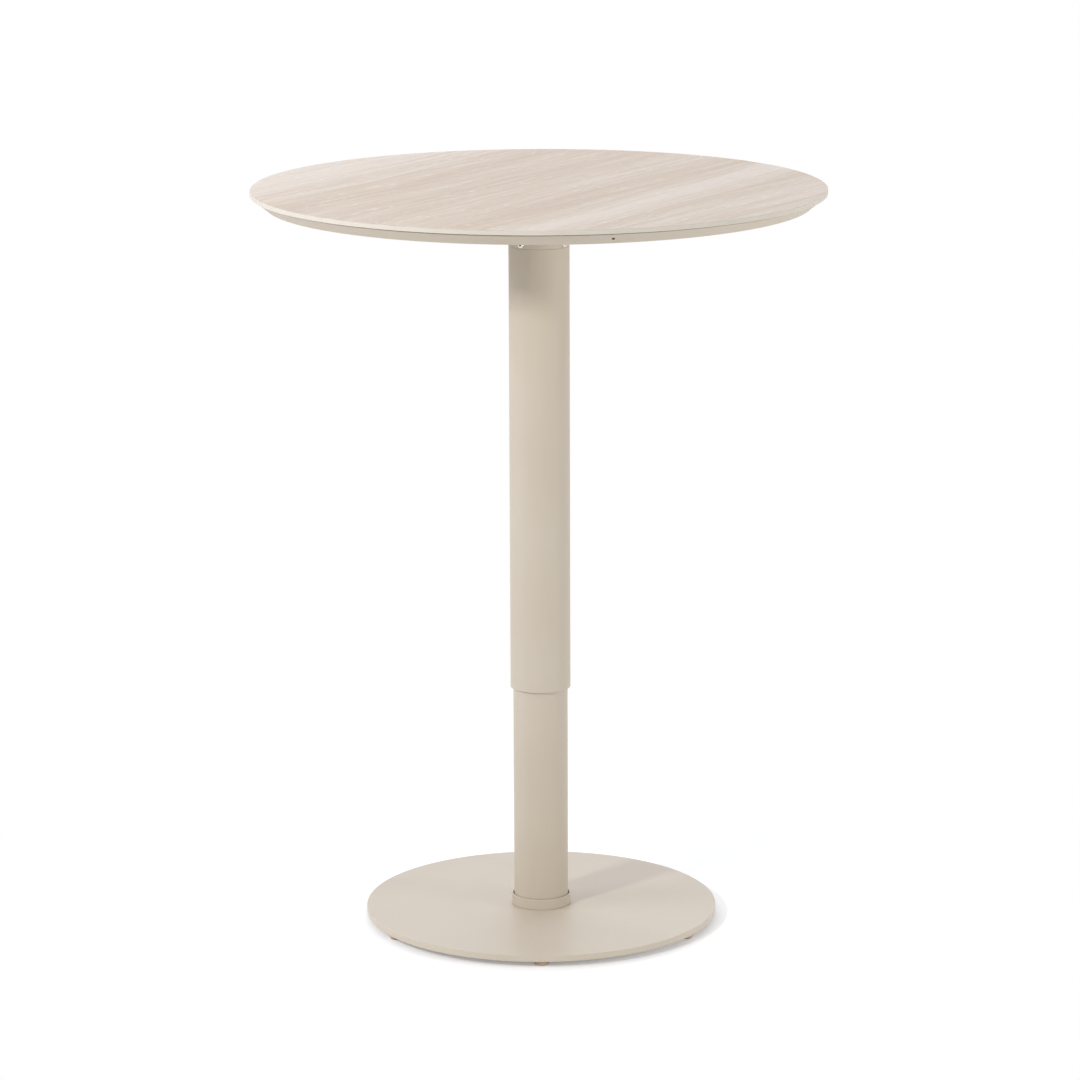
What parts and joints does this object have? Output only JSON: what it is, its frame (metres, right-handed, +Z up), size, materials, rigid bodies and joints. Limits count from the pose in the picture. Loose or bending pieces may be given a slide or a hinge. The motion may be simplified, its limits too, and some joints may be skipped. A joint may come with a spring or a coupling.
{
  "type": "height-adjustable bar table",
  "caption": "Round pedestal table with a thin stone top on a bevelled tray; its telescopic column drops from bar to dining height on a gas spring released by an under-top lever.",
  "frame": {"origin": "on the floor under the column's axis", "axes": "+Z up along the column, -Y towards the front, +X to the right as seen from the front"},
  "size_m": [0.7999, 0.8, 1.05],
  "materials": {
    "stone_top": "satin",
    "powder_coat": "satin",
    "dark_bond": "matte",
    "glide_plastic": "matte",
    "stainless": "satin",
    "zinc_steel": "satin",
    "gas_black": "satin",
    "chrome_rod": "polished",
    "guide_plastic": "matte",
    "bump_rubber": "matte",
    "core_wood": "matte",
    "brass_insert": "satin",
    "lever_plastic": "matte"
  },
  "bodies": {
    "base": {"base_plate": "powder_coat", "foot_glides": "glide_plastic", "glide_screws": "zinc_steel", "tube_foot": "zinc_steel", "base_bolts": "zinc_steel", "base_collar": "powder_coat", "lower_tube": "powder_coat", "upper_guide_bush": "guide_plastic", "bump_stop": "bump_rubber", "spring_stand": "zinc_steel", "gas_cylinder": "gas_black", "rod_guide": "guide_plastic", "centring_ring": "guide_plastic"},
    "top": {"table_slab": "stone_top", "bond_ring": "dark_bond", "under_tray": "powder_coat", "core_board": "core_wood", "threaded_inserts": "brass_insert", "mount_plate": "powder_coat", "mount_bolts": "zinc_steel", "head_ring": "powder_coat", "head_screws": "stainless", "sleeve_tube": "powder_coat", "lower_guide_bush": "guide_plastic", "column_head": "zinc_steel", "piston_rod": "chrome_rod", "gas_piston": "zinc_steel", "rod_locknut": "zinc_steel", "lever_bracket": "zinc_steel", "bracket_screws": "zinc_steel", "pivot_pin": "zinc_steel", "pivot_clip": "zinc_steel"},
    "release_lever": {"release_lever": "powder_coat", "lever_grip": "lever_plastic"},
    "release_pin": {"release_pin": "stainless"}
  },
  "joints": [
    {"name": "height_slide", "type": "slide", "parent": "base", "child": "top", "axis": [0, 0, 1], "range_m": [-0.3, 0]},
    {"name": "lever_hinge", "type": "hinge", "parent": "top", "child": "release_lever", "pos_m": [0, 0.022, 1.0003], "axis": [1, 0, 0], "range_deg": [0, 5], "stiffness_Nm_per_rad": 20, "springref_deg": -5.73},
    {"name": "pin_slide", "type": "slide", "parent": "top", "child": "release_pin", "axis": [0, 0, -1], "range_m": [0, 0.002]}
  ],
  "couplings": [
    {"joint": "pin_slide", "follows": "lever_hinge", "m_per_rad": 0.022}
  ]
}
